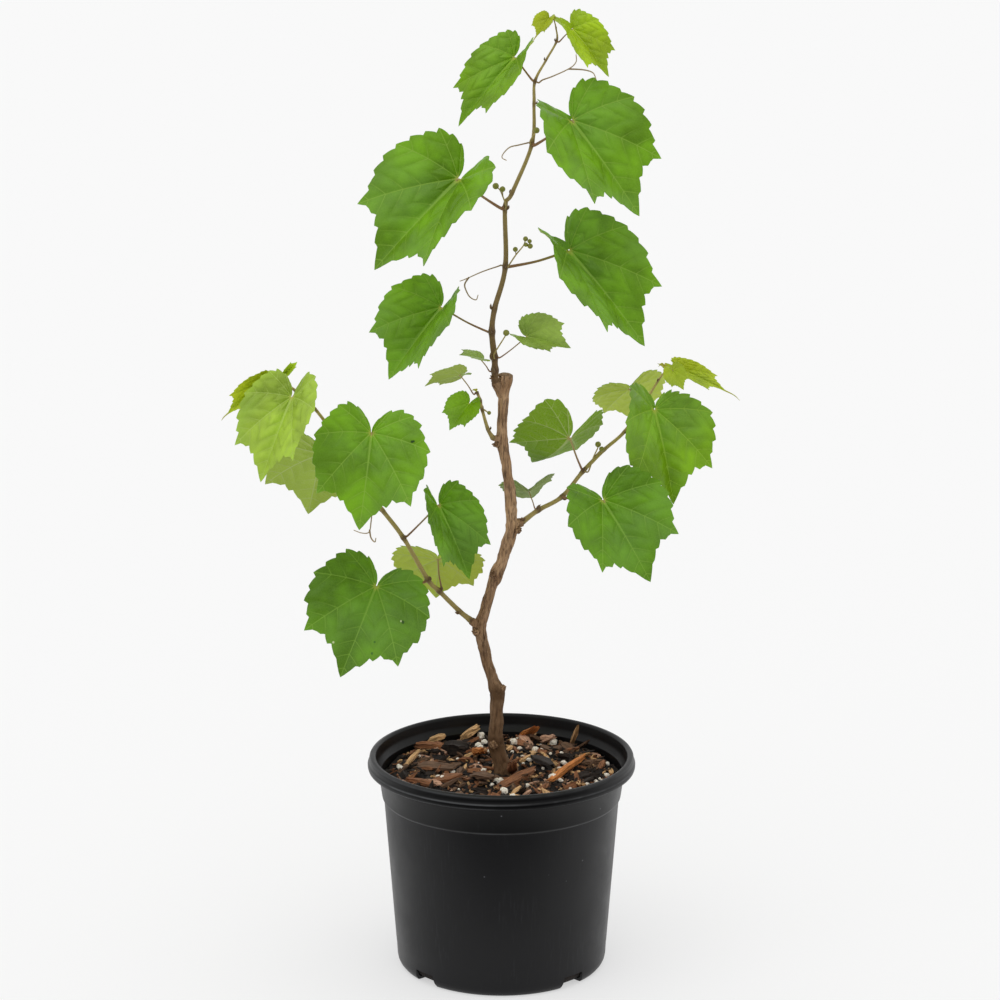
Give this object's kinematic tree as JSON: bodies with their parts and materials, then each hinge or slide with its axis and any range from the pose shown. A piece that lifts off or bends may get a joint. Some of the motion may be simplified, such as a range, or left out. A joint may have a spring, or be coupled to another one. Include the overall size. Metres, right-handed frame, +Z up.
{
  "type": "potted muscadine grapevine",
  "caption": "Young grapevine with a slender trunk, leafy canes, broad toothed heart-shaped leaves, curling tendrils and tiny unripe fruit, growing in a round nursery pot of bark mix.",
  "frame": {"origin": "centre of the flat underside of the pot", "axes": "+Z straight up, +X to the right of the plant's face, -Y towards whoever faces the plant"},
  "size_m": [0.299, 0.1981, 0.5931],
  "materials": {
    "black_plastic": "satin moulded black",
    "bark_mix": "loose dark bark chips with white specks",
    "old_bark": "rough grey-brown bark",
    "cane_bark": "smooth olive-brown young bark",
    "leaf_green": "semi-gloss green leaf with pale veins",
    "young_green": "semi-gloss yellow-green young leaf",
    "tendril_brown": "smooth brown tendril",
    "fruit_green": "matt unripe fruit"
  },
  "bodies": {
    "root": {"pot": "black_plastic", "potting_mix": "bark_mix", "trunk": "old_bark", "leader_cane": "cane_bark", "left_cane": "cane_bark", "right_cane": "cane_bark", "side_shoot": "cane_bark", "leader_leaf_1": "leaf_green", "leader_leaf_2": "leaf_green", "leader_leaf_3": "leaf_green", "leader_leaf_4": "leaf_green", "leader_leaf_5": "leaf_green", "leader_leaf_6": "leaf_green", "leader_leaf_7": "leaf_green", "leader_leaf_8": "young_green", "leader_leaf_9": "young_green", "side_leaf_1": "leaf_green", "side_leaf_2": "leaf_green", "left_leaf_1": "leaf_green", "left_leaf_2": "leaf_green", "left_leaf_3": "leaf_green", "left_leaf_4": "leaf_green", "left_leaf_5": "leaf_green", "left_leaf_6": "young_green", "left_leaf_7": "young_green", "left_leaf_8": "young_green", "right_leaf_1": "leaf_green", "right_leaf_2": "leaf_green", "right_leaf_3": "leaf_green", "right_leaf_4": "leaf_green", "right_leaf_5": "leaf_green", "right_leaf_6": "young_green", "right_leaf_7": "young_green", "tendril_top": "tendril_brown", "tendril_middle": "tendril_brown", "tendril_low": "tendril_brown", "tendril_left": "tendril_brown", "fruit_cluster_1": "fruit_green", "fruit_cluster_2": "fruit_green", "fruit_cluster_3": "fruit_green", "fruit_cluster_4": "fruit_green", "fruit_cluster_5": "fruit_green", "fruit_cluster_6": "fruit_green"}
  },
  "joints": []
}
